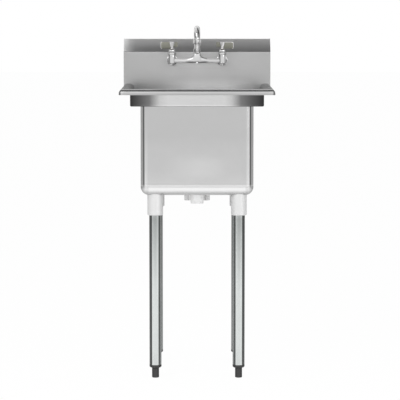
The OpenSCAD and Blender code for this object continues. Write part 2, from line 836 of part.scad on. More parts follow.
module valve_cartridge(side) {
  color(brass_metal) at_valve(side) translate([0, 0, cartridge_z]) difference() {
    cylinder(d = cartridge_d, h = cartridge_h);
    translate([0, 0, cartridge_floor_t]) cylinder(d = stem_d + 2 * fit_gap, h = cartridge_h);
  }
}

module bonnet_nut(side) {
  color(chrome_plate) at_valve(side) difference() {
    union() {
      translate([0, 0, valve_top_z]) cylinder(d = bonnet_hex_d, h = bonnet_hex_h, $fn = 6);
      translate([0, 0, valve_top_z + bonnet_hex_h]) round_top_bar(bonnet_d, bonnet_h, bonnet_edge_r);
    }
    translate([0, 0, valve_top_z - overrun])
      cylinder(d = cartridge_bore_d, h = cartridge_proud + seat_gap + overrun);
    translate([0, 0, valve_top_z]) cylinder(d = stem_d + 4 * fit_gap, h = bonnet_hex_h + bonnet_h + overrun);
  }
}

module valve_stem(side) {
  stem_l = stem_top_z - stem_z - fit_gap;
  color(brass_metal) at_valve(side) translate([0, 0, stem_z + fit_gap]) difference() {
    cylinder(d = stem_d, h = stem_l);
    translate([0, 0, stem_l - screw_grip]) cylinder(d = screw_d + 2 * fit_gap, h = screw_grip + overrun);
  }
}

// An upright blade from the axis out to a reach, its top edge at the given height
module blade(reach, height, top_z) {
  translate([reach / 2, blade_t / 2, top_z - height / 2]) rotate([90, 0, 0]) linear_extrude(blade_t)
    rounded_rect(reach, height, blade_r);
}

module handle(side) {
  crown_z = hub_z + hub_shank_h;
  cone_h = (hub_h - hub_shank_h) * hub_cone_share;
  color(chrome_plate) at_valve(side) mirror([side < 0 ? 1 : 0, 0, 0]) difference() {
    union() {
      translate([0, 0, hub_z]) cylinder(d = hub_low_d, h = hub_shank_h);
      translate([0, 0, crown_z]) cylinder(d1 = hub_low_d, d2 = hub_top_d, h = cone_h);
      translate([0, 0, crown_z + cone_h])
        cylinder(d1 = hub_top_d, d2 = hub_top_d - 2 * hub_chamfer, h = hub_h - hub_shank_h - cone_h);
      blade(blade_reach, blade_h, hub_top_z - blade_drop);
      mirror([1, 0, 0]) blade(tail_reach, tail_h, hub_top_z - blade_drop);
    }
    translate([0, 0, hub_z - overrun])
      cylinder(d = stem_d + 2 * seat_gap, h = stem_top_z - hub_z + overrun + fit_gap);
    translate([0, 0, hub_z]) cylinder(d = screw_d + 2 * seat_gap, h = hub_h + overrun);
    translate([0, 0, hub_top_z - screw_head_t])
      cylinder(d = screw_head_d + 2 * seat_gap, h = screw_head_t + overrun);
  }
}

module handle_screw(side) {
  screw_z = stem_top_z - screw_grip + fit_gap;
  color(chrome_plate) at_valve(side) {
    translate([0, 0, screw_z]) cylinder(d = screw_d, h = hub_top_z - screw_head_t - screw_z + overrun);
    translate([0, 0, hub_top_z - screw_head_t + fit_gap])
      round_top_bar(screw_head_d, screw_head_t - fit_gap, screw_head_t / 2);
  }
}

// Spout

// The spout's run as a solid bar of one diameter, from the swivel nut to the outlet
module spout_run(d, low, out) {
  bend_y = faucet_y - spout_bend_r;
  drop_y = outlet_y + spout_bend_r;
  translate([0, faucet_y, low]) cylinder(d = d, h = bend_z - low);
  translate([0, bend_y, bend_z]) rotate([90, 0, 90]) rotate_extrude(angle = 90)
    translate([spout_bend_r, 0]) circle(d = d);
  translate([0, drop_y, spout_axis_z]) rotate([-90, 0, 0]) cylinder(d = d, h = bend_y - drop_y);
  translate([0, drop_y, bend_z]) rotate([90, 0, 90]) rotate(90) rotate_extrude(angle = 90)
    translate([spout_bend_r, 0]) circle(d = d);
  translate([0, outlet_y, out]) cylinder(d = d, h = bend_z - out);
}

module spout() {
  color(chrome_plate) difference() {
    union() {
      spout_run(spout_od, spout_tube_z, tube_end_z);
      translate([0, faucet_y, spigot_z]) cylinder(d = spigot_d, h = spigot_h);
      translate([0, faucet_y, spout_neck_z]) cylinder(d = collar_d, h = collar_t);
      translate([0, faucet_y, spout_neck_z]) cylinder(d = spout_neck_d, h = spout_tube_z - spout_neck_z);
    }
    spout_run(spout_id, spout_tube_z + spout_wall, tube_end_z - overrun);
    translate([0, faucet_y, spigot_z - overrun])
      cylinder(d = spigot_id, h = spout_tube_z + spout_wall - spigot_z + 2 * overrun);
    translate([0, faucet_y, oring_z - oring_groove_h / 2]) washer(spigot_d + overrun, oring_groove_d, oring_groove_h);
  }
}

module spout_oring() {
  color(rubber_black) translate([0, faucet_y, oring_z]) rotate_extrude()
    translate([oring_r, 0]) circle(d = oring_d, $fn = 24);
}

module spout_nut() {
  color(chrome_plate) translate([0, faucet_y, neck_top_z]) difference() {
    round_top_bar(spout_nut_d, spout_nut_h, bonnet_edge_r);
    translate([0, 0, -overrun]) cylinder(d = thread_d + 2 * fit_gap, h = spout_lip_z - neck_top_z + overrun);
    cylinder(d = spout_neck_d + 2 * tube_gap, h = spout_nut_h + overrun);
  }
}

module aerator() {
  color(chrome_plate) translate([0, outlet_y, 0]) difference() {
    translate([0, 0, aerator_top_z]) mirror([0, 0, 1]) round_top_bar(aerator_d, aerator_h, aerator_edge_r);
    translate([0, 0, screen_rest_z])
      cylinder(d = spout_od + 2 * fit_gap, h = aerator_top_z - screen_rest_z + overrun);
    translate([0, 0, spout_outlet_z - overrun]) cylinder(d = aerator_mouth_d, h = aerator_h);
  }
}

module aerator_screen() {
  color(satin_steel) translate([0, outlet_y, screen_z]) difference() {
    cylinder(d = spout_od - 2 * fit_gap, h = screen_t);
    for (i = [0 : screen_holes - 1]) rotate(i * 360 / screen_holes)
      translate([spout_od * screen_hole_share, 0, -overrun])
        cylinder(d = screen_hole_d, h = screen_t + 2 * overrun);
    translate([0, 0, -overrun]) cylinder(d = screen_hole_d, h = screen_t + 2 * overrun);
  }
}

bowl();
ledge_front();
ledge_rear();
ledge_side(-1);  // ledge_left
ledge_side(1);  // ledge_right
rim_front();
rim_side(-1);  // rim_left
rim_side(1);  // rim_right
apron_front();
apron_side(-1);  // apron_left
apron_side(1);  // apron_right
backsplash();
splash_end(-1);  // splash_end_left
splash_end(1);  // splash_end_right
leg_socket(-1, false);  // leg_socket_front_left
leg_socket(1, false);  // leg_socket_front_right
leg_socket(-1, true);  // leg_socket_rear_left
leg_socket(1, true);  // leg_socket_rear_right
leg_set_screws();
leg_tube(-1, false);  // leg_tube_front_left
leg_tube(1, false);  // leg_tube_front_right
leg_tube(-1, true);  // leg_tube_rear_left
leg_tube(1, true);  // leg_tube_rear_right
foot_insert(-1, false);  // foot_insert_front_left
foot_insert(1, false);  // foot_insert_front_right
foot_insert(-1, true);  // foot_insert_rear_left
foot_insert(1, true);  // foot_insert_rear_right
foot(-1, false);  // foot_front_left
foot(1, false);  // foot_front_right
foot(-1, true);  // foot_rear_left
foot(1, true);  // foot_rear_right
drain_gasket();
drain_body();
drain_washer();
drain_slip_ring();
drain_locknut();
basket_cup();
basket_stopper();
basket_knob();
faucet_body();
wall_flanges();
supply_shank(-1);  // supply_shank_hot
supply_shank(1);  // supply_shank_cold
shank_washers();
shank_nuts();
valve_cartridge(-1);  // valve_cartridge_hot
valve_cartridge(1);  // valve_cartridge_cold
bonnet_nut(-1);  // bonnet_nut_hot
bonnet_nut(1);  // bonnet_nut_cold
valve_stem(-1);  // valve_stem_hot
valve_stem(1);  // valve_stem_cold
handle(-1);  // handle_hot
handle(1);  // handle_cold
handle_screw(-1);  // handle_screw_hot
handle_screw(1);  // handle_screw_cold
spout();
spout_oring();
spout_nut();
aerator();
aerator_screen();
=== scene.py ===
"""Looks of the utility laundry sink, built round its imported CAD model. Metres, -Y towards the user."""

import json
import math

import bmesh
import bpy
from mathutils import Matrix, Vector


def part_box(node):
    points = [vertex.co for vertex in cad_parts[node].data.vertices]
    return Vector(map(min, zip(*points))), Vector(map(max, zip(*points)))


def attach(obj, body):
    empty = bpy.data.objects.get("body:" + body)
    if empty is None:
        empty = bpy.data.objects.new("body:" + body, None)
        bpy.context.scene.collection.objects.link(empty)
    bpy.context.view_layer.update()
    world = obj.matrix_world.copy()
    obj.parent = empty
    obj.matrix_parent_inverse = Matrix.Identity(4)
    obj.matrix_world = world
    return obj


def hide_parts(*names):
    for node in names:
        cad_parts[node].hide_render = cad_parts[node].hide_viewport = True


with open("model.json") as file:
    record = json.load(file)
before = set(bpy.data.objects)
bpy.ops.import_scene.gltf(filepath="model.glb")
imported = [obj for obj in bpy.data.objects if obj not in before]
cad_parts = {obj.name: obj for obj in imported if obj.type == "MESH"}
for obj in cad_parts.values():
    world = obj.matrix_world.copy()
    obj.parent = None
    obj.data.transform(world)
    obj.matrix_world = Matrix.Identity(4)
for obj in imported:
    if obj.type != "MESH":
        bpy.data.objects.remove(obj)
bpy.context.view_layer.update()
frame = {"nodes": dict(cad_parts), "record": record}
nodes = frame["nodes"]
MM = 0.001
X, Y, Z = range(3)


# Camera: the photograph's frame, 400 pixels wide
CAMERA_AT = (0.0, -7.265, 1.3217)
CAMERA_DOWN = 5.6
FOCAL_PX = 2054.5
FRAME_PX = 400
SENSOR_MM = 36.0
CENTRE_PX = 197.05


bpy.context.scene.view_settings.view_transform = "Standard"


def make_camera():
    data = bpy.data.cameras.new("camera")
    data.sensor_width = SENSOR_MM
    data.lens = FOCAL_PX / FRAME_PX * SENSOR_MM
    data.shift_x = (FRAME_PX / 2 - CENTRE_PX) / FRAME_PX
    data.clip_end = 100
    camera = bpy.data.objects.new("camera", data)
    camera.location = CAMERA_AT
    camera.rotation_euler = (math.radians(90 - CAMERA_DOWN), 0, 0)
    bpy.context.scene.collection.objects.link(camera)
    bpy.context.scene.camera = camera


# Node tools: each returns the socket that carries its result
def combined(tree, operation, a, b):
    """A maths node over two sources, or over a source and a number."""
    node = tree.nodes.new("ShaderNodeMath")
    node.operation = operation
    for socket, value in zip(node.inputs, (a, b)):
        if isinstance(value, float):
            socket.default_value = value
        else:
            tree.links.new(value, socket)
    return node.outputs[0]


def span(tree, source, low, high):
    """A source from 0 to 1, drawn out from low to high."""
    remap = tree.nodes.new("ShaderNodeMapRange")
    remap.inputs["To Min"].default_value = low
    remap.inputs["To Max"].default_value = high
    tree.links.new(source, remap.inputs["Value"])
    return remap.outputs[0]


def place_of(tree, axis):
    """A point's place along x, y or z in the object's own metres."""
    coordinates = tree.nodes.new("ShaderNodeTexCoord")
    split = tree.nodes.new("ShaderNodeSeparateXYZ")
    tree.links.new(coordinates.outputs["Object"], split.inputs[0])
    return split.outputs[axis]


def facing(tree, axis):
    """How far the surface itself faces x, y or z, from -1 to 1."""
    geometry = tree.nodes.new("ShaderNodeNewGeometry")
    split = tree.nodes.new("ShaderNodeSeparateXYZ")
    tree.links.new(geometry.outputs["Normal"], split.inputs[0])
    return split.outputs[axis]


def own_facing(tree, axis):
    """How far the surface faces one of the object's own axes, whatever pose it is in."""
    coordinates = tree.nodes.new("ShaderNodeTexCoord")
    split = tree.nodes.new("ShaderNodeSeparateXYZ")
    tree.links.new(coordinates.outputs["Normal"], split.inputs[0])
    return split.outputs[axis]


def shades(tree, source, stops, interpolation="LINEAR"):
    """A tone that changes along a source through a few stops of (place, tone)."""
    low, high = stops[0][0], stops[-1][0]
    remap = tree.nodes.new("ShaderNodeMapRange")
    remap.inputs["From Min"].default_value = low
    remap.inputs["From Max"].default_value = high
    tree.links.new(source, remap.inputs["Value"])
    ramp = tree.nodes.new("ShaderNodeValToRGB")
    ramp.color_ramp.interpolation = interpolation
    elements = ramp.color_ramp.elements
    while len(elements) < len(stops):
        elements.new(0.5)
    for element, (place, tone) in zip(elements, stops):
        element.position = (place - low) / (high - low)
        element.color = (tone, tone, tone, 1)
    tree.links.new(remap.outputs[0], ramp.inputs["Fac"])
    return ramp.outputs["Color"]


def blend_tones(tree, kind, share, a, b):
    """Tone b over tone a; the share may be a source or a number."""
    mix = tree.nodes.new("ShaderNodeMix")
    mix.data_type = "RGBA"
    mix.blend_type = kind
    if isinstance(share, float):
        mix.inputs["Factor"].default_value = share
    else:
        tree.links.new(share, mix.inputs["Factor"])
    tree.links.new(a, mix.inputs["A"])
    tree.links.new(b, mix.inputs["B"])
    return mix.outputs["Result"]


def times(tree, a, b):
    return blend_tones(tree, "MULTIPLY", 1.0, a, b)


def mixed(tree, share, a, b):
    return blend_tones(tree, "MIX", share, a, b)


def plain_tone(tree):
    """A tone that changes nothing."""
    return shades(tree, place_of(tree, X), [(-1, 1), (1, 1)])


# Studio: white surround, soft lamps, and cards (flags) that only reflections see
WORLD_LEVEL = 0.62
FLOOR_WHITE = 0.97
FLOOR_GLOW = 0.97
FLOOR_HALF = 30
LAMP_AIM = (0, 0, 0.7)
LAMP_SIZE = (2.4, 2.4)
KEY_WATTS = 90
FILL_WATTS = 50


def make_world():
    """White where it is seen or reflected, dimmer as a light on matt surfaces."""
    world = bpy.data.worlds.new("surround")
    bpy.context.scene.world = world
    world.use_nodes = True
    tree = world.node_tree
    tree.nodes.clear()
    path = tree.nodes.new("ShaderNodeLightPath")
    seen = combined(tree, "MAXIMUM", path.outputs["Is Camera Ray"], path.outputs["Is Glossy Ray"])
    seen = combined(tree, "MAXIMUM", seen, path.outputs["Is Transmission Ray"])
    background = tree.nodes.new("ShaderNodeBackground")
    background.inputs["Color"].default_value = (1, 1, 1, 1)
    tree.links.new(span(tree, seen, WORLD_LEVEL, 1.0), background.inputs["Strength"])
    out = tree.nodes.new("ShaderNodeOutputWorld")
    tree.links.new(background.outputs[0], out.inputs["Surface"])


def area_lamp(name, place, aim, size, watts):
    data = bpy.data.lights.new(name, "AREA")
    data.shape = "RECTANGLE"
    data.size, data.size_y = size
    data.energy = watts
    lamp = bpy.data.objects.new(name, data)
    lamp.location = place
    lamp.rotation_euler = (Vector(aim) - Vector(place)).to_track_quat("-Z", "Y").to_euler()
    bpy.context.scene.collection.objects.link(lamp)


def make_plane(name, corners, material):
    mesh = bpy.data.meshes.new(name)
    mesh.from_pydata([Vector(c) for c in corners], [], [(0, 1, 2, 3)])
    mesh.materials.append(material)
    plane = bpy.data.objects.new(name, mesh)
    bpy.context.scene.collection.objects.link(plane)
    return plane


def flat_material(name, tone):
    material = bpy.data.materials.new(name)
    material.use_nodes = True
    shader = material.node_tree.nodes["Principled BSDF"]
    shader.inputs["Base Color"].default_value = (tone, tone, tone, 1)
    shader.inputs["Roughness"].default_value = 0.9
    shader.inputs["Specular IOR Level"].default_value = 0.1
    return material


def floor_material():
    """A matt floor that still looks white to the camera."""
    material = flat_material("floor", FLOOR_WHITE)
    tree = material.node_tree
    shader = tree.nodes["Principled BSDF"]
    path = tree.nodes.new("ShaderNodeLightPath")
    glow = tree.nodes.new("ShaderNodeEmission")
    glow.inputs["Color"].default_value = (1, 1, 1, 1)
    mix = tree.nodes.new("ShaderNodeMixShader")
    share = combined(tree, "MULTIPLY", path.outputs["Is Camera Ray"], FLOOR_GLOW)
    tree.links.new(share, mix.inputs[0])
    tree.links.new(shader.outputs[0], mix.inputs[1])
    tree.links.new(glow.outputs[0], mix.inputs[2])
    tree.links.new(mix.outputs[0], tree.nodes["Material Output"].inputs["Surface"])
    return material


def make_flag(name, corners, tone):
    flag = make_plane(name, corners, flat_material(name, tone))
    flag.visible_camera = False
    flag.visible_diffuse = False
    flag.visible_shadow = False


def level(x_low, x_high, y_low, y_high, z):
    """The corners of a level rectangle."""
    return [(x_low, y_low, z), (x_high, y_low, z), (x_high, y_high, z), (x_low, y_high, z)]


def make_studio():
    make_world()
    make_plane("floor", level(-FLOOR_HALF, FLOOR_HALF, -FLOOR_HALF, FLOOR_HALF, 0), floor_material())
    area_lamp("key_lamp", (-2.2, -3.2, 3.2), LAMP_AIM, LAMP_SIZE, KEY_WATTS)
    area_lamp("fill_lamp", (2.6, -3.0, 2.2), LAMP_AIM, LAMP_SIZE, FILL_WATTS)
    make_flag("top_flag", level(-1.5, 2.0, -1.85, 0.6, 3.4), 0.09)
    make_flag("right_flag", [(2.0, -1.15, 2.6), (2.0, 0.1, 2.6), (2.0, 0.1, 3.4), (2.0, -1.15, 3.4)], 0.02)
    make_flag("spout_card", level(-0.16, 0.001, -0.07, 0.09, 1.31), 0.95)
    make_flag("band_card", level(-0.36, -0.264, 0.17, 0.33, 1.27), 1.0)
    make_flag("rear_flag", [(-3, 2.2, 0), (3, 2.2, 0), (3, 2.2, 2.6), (-3, 2.2, 2.6)], 0.6)


# Materials, each kept in MATERIALS under its name
MATERIALS = {}
GRAIN_DETAIL = 3.0
RELIEF = 0.25
LEAST_ROUGH = 0.02
PLASTIC_GLOSS = 0.15
GRAZING_TONE = 0.33

# Grains: scale, stretch along x, y and z, spread of tone, spread of roughness, height in metres
EVEN = (1, 1, 1)
CHROME_GRAIN = (300, EVEN, 0.02, 0.02, 0.00005)
BLADE_GRAIN = (300, EVEN, 0.03, 0.04, 0.0001)
CAST_GRAIN = (220, EVEN, 0.04, 0.05, 0.0002)
ZINC_GRAIN = (45, (1, 1, 0.35), 0.05, 0.05, 0.0002)
BRASS_GRAIN = (200, (1, 1, 8), 0.06, 0.06, 0.0003)


def grain_nodes(tree, scale, stretch):
    """Noise drawn out along chosen directions, in the object's own metres."""
    coordinates = tree.nodes.new("ShaderNodeTexCoord")
    mapping = tree.nodes.new("ShaderNodeMapping")
    mapping.inputs["Scale"].default_value = stretch
    noise = tree.nodes.new("ShaderNodeTexNoise")
    noise.inputs["Scale"].default_value = scale
    noise.inputs["Detail"].default_value = GRAIN_DETAIL
    tree.links.new(coordinates.outputs["Object"], mapping.inputs["Vector"])
    tree.links.new(mapping.outputs["Vector"], noise.inputs["Vector"])
    return noise


def surface(name, tone, roughness, grain, metallic=1.0, anisotropy=0.0, shade=None):
    """A finish whose tone, roughness and height vary with its grain.
    shade(tree) returns a tone of painted reflection and shade that multiplies it over the piece."""
    scale, stretch, tone_spread, rough_spread, height = grain
    material = bpy.data.materials.new(name)
    material.use_nodes = True
    tree = material.node_tree
    shader = tree.nodes["Principled BSDF"]
    shader.inputs["Metallic"].default_value = metallic
    shader.inputs["Anisotropic"].default_value = anisotropy
    noise = grain_nodes(tree, scale, stretch)
    tint = tree.nodes.new("ShaderNodeMix")
    tint.data_type = "RGBA"
    tint.inputs["A"].default_value = [c * (1 - tone_spread) for c in tone] + [1]
    tint.inputs["B"].default_value = [min(1, c * (1 + tone_spread)) for c in tone] + [1]
    tree.links.new(noise.outputs["Fac"], tint.inputs["Factor"])
    colour = tint.outputs["Result"]
    if shade:
        colour = times(tree, colour, shade(tree))
    tree.links.new(colour, shader.inputs["Base Color"])
    smoothest = max(LEAST_ROUGH, roughness - rough_spread)
    rough = span(tree, noise.outputs["Fac"], smoothest, roughness + rough_spread)
    tree.links.new(rough, shader.inputs["Roughness"])
    relief = tree.nodes.new("ShaderNodeBump")
    relief.inputs["Strength"].default_value = RELIEF
    relief.inputs["Distance"].default_value = height
    tree.links.new(noise.outputs["Fac"], relief.inputs["Height"])
    tree.links.new(relief.outputs["Normal"], shader.inputs["Normal"])
    MATERIALS[name] = material


def grey(tone):
    return (tone, tone, tone)


def steel(name, tone, roughness, along, shade=None):
    """Brushed sheet, its scratches drawn out along one axis."""
    stretch = [30.0, 30.0, 30.0]
    stretch[along] = 0.4
    grain = (60, stretch, 0.05, 0.05, 0.0002)
    surface(name, grey(tone), roughness, grain, anisotropy=0.3, shade=shade)


def chrome(name, tone, roughness, metallic, shade=None):
    """Polished plating with a trace of grain."""
    surface(name, grey(tone), roughness, CHROME_GRAIN, metallic, shade=shade)


def matte(name, tone, roughness, scale=900.0, shade=None):
    """Moulded plastic, rubber or fibre with a fine pebbled skin."""
    surface(name, tone, roughness, (scale, EVEN, 0.15, 0.08, 0.0003), 0.0, shade=shade)


# Painted reflections, highlights and shade: tones by place (in metres) and by facing, standing for where
# the studio shows in the metal; 1 changes nothing
def face_shade(tree):
    """Painted reflection and shade on the backsplash's face: lighter towards the middle, with a painted
    soft shadow of the faucet over it.
    """
    across = place_of(tree, X)
    high = shades(tree, across, [(-0.26, 0.8), (-0.12, 0.9), (0, 0.98), (0.12, 0.9), (0.26, 0.8)])
    low = shades(tree, across, [
        (-0.262, 0.95), (-0.245, 0.8), (-0.215, 0.62), (-0.13, 0.92), (-0.02, 1.5), (0.11, 1.5),
        (0.21, 0.85), (0.262, 0.95)])
    height = shades(tree, place_of(tree, Z), [(0.997, 0), (1.04, 1)], "EASE")
    below_arms = shades(tree, place_of(tree, Z), [
        (1.05, 0.7), (1.07, 0.72), (1.078, 0.8), (1.088, 1.0), (1.096, 1.0), (1.104, 0.66), (1.12, 0.63)])
    middle = shades(tree, across, [(-0.1, 0), (-0.08, 1), (0.08, 1), (0.1, 0)])
    plain = shades(tree, place_of(tree, Z), [(1.05, 0.7), (1.12, 0.63)])
    top = mixed(tree, middle, plain, below_arms)
    return times(tree, mixed(tree, height, low, high), top)


def slant_shade(tree):
    """Painted reflection on the slanted band: brighter upwards, with a bright left end."""
    across = place_of(tree, X)
    rise = shades(tree, place_of(tree, Z), [(1.128, 0.68), (1.15, 0.76), (1.178, 0.93)])
    ends_low = shades(tree, across, [
        (-0.262, 1.5), (-0.243, 1.4), (-0.225, 1.05), (-0.19, 0.98), (0.12, 0.95), (0.2, 0.84),
        (0.266, 0.82)])
    ends_high = shades(tree, across, [(-0.262, 1.3), (-0.245, 1.12), (-0.22, 1.0), (0.266, 0.98)])
    height = shades(tree, place_of(tree, Z), [(1.13, 0), (1.172, 1)])
    ends = mixed(tree, height, ends_low, ends_high)
    return times(tree, rise, ends)


def apron_shade(tree):
    """Painted reflection on the apron: bright in the middle between dark ends, with painted shade where it
    faces down.
    """
    below = shades(tree, facing(tree, Z), [(-1, 0.55), (-0.5, 0.68), (-0.12, 1.0), (1, 1.0)])
    across = shades(tree, place_of(tree, X), [
        (-0.228, 0.055), (-0.195, 0.155), (-0.163, 0.28), (-0.128, 0.84), (-0.1, 0.95),
        (0.095, 0.93), (0.118, 0.8), (0.15, 0.29), (0.185, 0.155), (0.228, 0.05)])
    return times(tree, across, below)


def bowl_shade(tree):
    """Painted reflections and shade on the bowl: dark rounded corners, a soft painted patch of light low on
    its front, a bright lower edge, and darker where it faces down.
    """
    rise = shades(tree, place_of(tree, Z), [
        (0.652, 1.3), (0.66, 1.55), (0.6635, 1.52), (0.6702, 1.22), (0.674, 1.32), (0.6765, 1.72),
        (0.68, 1.32), (0.683, 1.14), (0.688, 1.2), (0.7, 1.17), (0.73, 1.12), (0.8, 1.1), (0.85, 1.03),
        (0.95, 1.0)])
    glow = shades(tree, place_of(tree, X), [
        (-0.19, 1.0), (-0.12, 1.0), (-0.04, 1.08), (0, 1.12), (0.05, 1.1), (0.1, 1.02), (0.19, 0.99)])
    low_middle = shades(tree, place_of(tree, Z), [(0.69, 0), (0.73, 1), (0.75, 1), (0.8, 0)], "EASE")
    glow = mixed(tree, low_middle, plain_tone(tree), glow)
    below = shades(tree, facing(tree, Z), [
        (-1, 0.7), (-0.78, 0.75), (-0.53, 0.83), (-0.29, 0.95), (-0.1, 1), (1, 1)])
    edge_low = shades(tree, place_of(tree, X), [
        (-0.195, 0.75), (-0.19, 0.8), (-0.186, 1.0), (-0.178, 1.25), (-0.168, 1.0), (0.168, 1.0),
        (0.178, 1.25), (0.186, 1.0), (0.19, 0.8), (0.195, 0.75)])
    edge_high = shades(tree, place_of(tree, X), [
        (-0.195, 0.85), (-0.188, 0.9), (-0.184, 1.04), (0.184, 1.04), (0.188, 0.9), (0.195, 0.85)])
    height = shades(tree, place_of(tree, Z), [(0.68, 0), (0.95, 1)])
    edges = mixed(tree, height, edge_low, edge_high)
    sideways = combined(tree, "ABSOLUTE", facing(tree, X), 0.0)
    corners = shades(tree, sideways, [
        (0.43, 1.0), (0.5, 0.95), (0.57, 0.08), (0.62, 0.08), (0.69, 0.6), (0.85, 0.86), (0.97, 1.0),
        (1, 1)])
    upright = shades(tree, place_of(tree, Z), [(0.669, 0), (0.682, 1)])
    low_corners = shades(tree, sideways, [(0, 0.96), (0.06, 0.88), (0.2, 0.72), (0.6, 0.68), (1, 0.7)])
    corners = mixed(tree, upright, low_corners, corners)
    edges = times(tree, edges, corners)
    rise = times(tree, rise, glow)
    return times(tree, times(tree, rise, edges), below)


def leg_shade(tree):
    """Painted reflections on the legs: dark stripes down their sides, by facing, where facing away from the
    middle counts as positive, on either side; painted shade makes them darker upwards towards the bowl.
    """
    side = combined(tree, "SIGN", place_of(tree, X), 0.0)
    outward = combined(tree, "MULTIPLY", side, facing(tree, X))
    around_low = shades(tree, outward, [
        (-1, 0.5), (-0.95, 0.5), (-0.84, 0.42), (-0.76, 0.19), (-0.64, 0.13), (-0.5, 0.64), (-0.42, 1.1),
        (-0.3, 1), (0.3, 1), (0.4, 1.12), (0.5, 1.05), (0.56, 0.3), (0.62, 0.12), (0.8, 0.12), (0.88, 0.17),
        (0.94, 0.28), (1, 0.42)])
    around_high = shades(tree, outward, [
        (-1, 0.55), (-0.95, 0.8), (-0.84, 0.58), (-0.76, 0.26), (-0.64, 0.21), (-0.5, 0.95), (-0.42, 1.33),
        (-0.26, 1.03), (0, 0.97), (0.3, 1.02), (0.4, 1.26), (0.5, 1.1), (0.56, 0.32), (0.62, 0.17),
        (0.8, 0.22), (0.88, 0.24), (0.94, 0.36), (1, 0.5)])
    height = shades(tree, place_of(tree, Z), [(0.25, 0), (0.55, 1)])
    around = mixed(tree, height, around_low, around_high)
    rise = shades(tree, place_of(tree, Z), [
        (0.1, 0.96), (0.31, 0.88), (0.444, 0.73), (0.521, 0.65), (0.56, 0.6), (0.58, 0.75)])
    return times(tree, around, rise)


def tube_shade(tree):
    """Painted dark reflections that run down both flanks of the swing tube and meet over its bend, with
    painted shade darker low on its drop.
    """
    across, up = own_facing(tree, X), own_facing(tree, Z)
    lean = combined(tree, "MAXIMUM", combined(tree, "SUBTRACT", up, 0.45), 0.0)
    lean = combined(tree, "MULTIPLY", lean, 0.8)
    right = shades(tree, combined(tree, "ADD", across, lean), [
        (0.2, 1.0), (0.34, 0.16), (0.6, 0.14), (0.72, 0.7), (1, 0.75)])
    left = shades(tree, across, [(-0.8, 0.9), (-0.66, 0.3), (-0.42, 0.25), (-0.3, 1.0)])
    flank = shades(tree, up, [(0.26, 1.0), (0.4, 0.0)])
    crown = shades(tree, up, [(0.8, 1.0), (0.92, 0.0)])
    plain = plain_tone(tree)
    drop = shades(tree, place_of(tree, Z), [
        (1.17, 0.6), (1.186, 0.6), (1.192, 0.45), (1.2, 0.5), (1.207, 0.95), (1.214, 1.0)])
    flanks = times(tree, mixed(tree, crown, plain, right), mixed(tree, flank, plain, left))
    return times(tree, flanks, drop)


# Painted reflections on upright chrome: a bright front and bright outer edges, dark bands on both flanks.
def column_shade(tree):
    return shades(tree, own_facing(tree, X), [
        (-1, 1.0), (-0.85, 0.95), (-0.64, 0.45), (-0.35, 0.5), (-0.15, 0.95), (0.15, 0.95), (0.35, 0.65),
        (0.6, 0.42), (0.8, 0.5), (1, 0.75)])


# Painted reflections on the aerator: a bright front and edges, dark bands on both flanks.
def aerator_shade(tree):
    return shades(tree, own_facing(tree, X), [
        (-1, 0.8), (-0.85, 0.8), (-0.65, 0.7), (-0.5, 0.3), (-0.3, 0.3), (-0.15, 0.75), (0.12, 0.85),
        (0.3, 0.42), (0.5, 0.36), (0.66, 0.6), (0.85, 0.78), (1, 0.78)])


def arm_shade(tree):
    """Painted reflections and shade on the arms: bright in front and dark at the sides; dark beneath near
    the neck, dark on the crest further out.
    """
    across = shades(tree, own_facing(tree, X), [
        (-1, 0.42), (-0.4, 0.38), (-0.15, 0.84), (0.12, 0.84), (0.3, 0.25), (0.6, 0.12), (1, 0.12)])
    height = own_facing(tree, Z)
    up = shades(tree, height, [
        (-1, 1.4), (-0.3, 1.4), (0, 1.0), (0.3, 0.76), (0.6, 0.9), (0.82, 1.1), (0.93, 0.35), (1, 0.3)])
    under = shades(tree, height, [(-1, 0.35), (-0.4, 0.45), (-0.1, 0.9), (0.5, 0.9), (0.8, 0.85), (1, 0.8)])
    near = shades(tree, place_of(tree, X), [(-0.045, 0), (-0.03, 1), (0.03, 1), (0.045, 0)])
    return times(tree, across, mixed(tree, near, up, under))


# Painted shade: the feet darker towards their sides.
def foot_shade(tree):
    sideways = combined(tree, "ABSOLUTE", facing(tree, X), 0.0)
    return shades(tree, sideways, [(0, 1.0), (0.5, 0.95), (0.8, 0.55), (1, 0.4)])


# Painted reflections and shade on the lever hubs: dark flanks, darker at the foot and towards the top.
def hub_shade(tree):
    across = shades(tree, own_facing(tree, X), [
        (-1, 0.4), (-0.7, 0.45), (-0.45, 0.9), (-0.1, 0.75), (0.25, 1.0), (0.55, 1.0), (0.75, 0.6),
        (1, 0.5)])
    height = shades(tree, place_of(tree, Z), [
        (1.14, 0.6), (1.1465, 0.6), (1.15, 1.0), (1.1615, 1.0), (1.1645, 0.72), (1.17, 0.5)])
    return times(tree, across, height)


# Painted highlight down the front of each valve's lower end, between painted dark reflections.
def valve_end_shade(tree):
    return shades(tree, own_facing(tree, X), [
        (-1, 0.95), (-0.72, 0.95), (-0.55, 0.75), (-0.2, 0.65), (-0.08, 1.0), (0.12, 1.0), (0.28, 0.4),
        (0.75, 0.3), (1, 0.6)])


# Painted dark reflections on the nuts' flanks, beside a bright front and lighter outer edges.
def nut_shade(tree):
    return shades(tree, facing(tree, X), [
        (-1, 1.0), (-0.88, 0.9), (-0.72, 0.28), (-0.3, 0.28), (-0.12, 0.9), (0.08, 1.0), (0.25, 0.3),
        (0.75, 0.28), (0.9, 0.6), (1, 0.6)])


